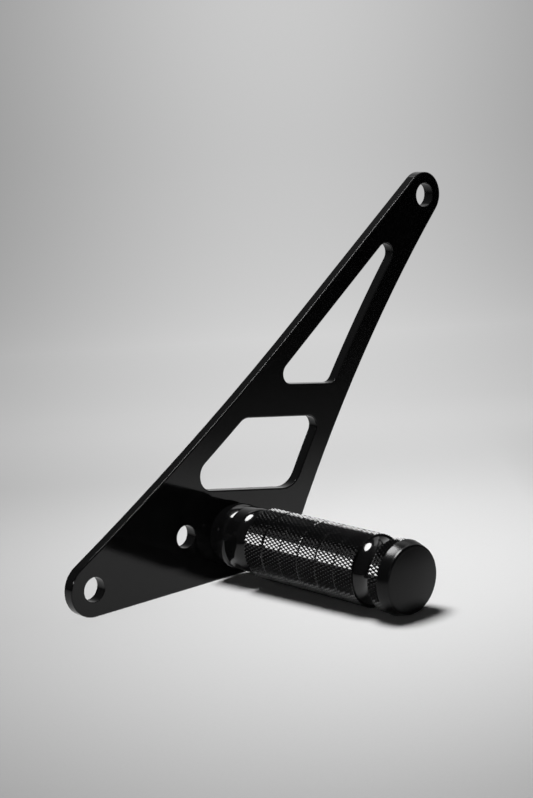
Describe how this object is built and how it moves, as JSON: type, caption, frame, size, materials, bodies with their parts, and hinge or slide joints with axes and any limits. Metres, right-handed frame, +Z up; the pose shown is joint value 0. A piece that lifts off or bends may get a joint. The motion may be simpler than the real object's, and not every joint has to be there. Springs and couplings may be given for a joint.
{
  "type": "footpeg lock bracket",
  "caption": "Flat cut metal bracket with bolt holes and weight-saving windows, carrying a knurled turned footpeg with a ring groove and a domed end cap.",
  "frame": {"origin": "centre of the lower bore on the plate's back face, the face that bolts to the motorbike", "axes": "+X along the plate's straight lower edge towards its tall end, +Z up, -Y out of the front face along the peg"},
  "size_m": [0.2239, 0.112, 0.1633],
  "materials": {
    "coated_plate": "semi-gloss black powder coat",
    "anodised_peg": "bright black anodised, knurled grip",
    "cap_plastic": "matte black moulded",
    "screw_steel": "black oxide"
  },
  "bodies": {
    "root": {"bracket_plate": "coated_plate", "footpeg": "anodised_peg", "end_cap": "cap_plastic", "peg_screw": "screw_steel"}
  },
  "joints": []
}
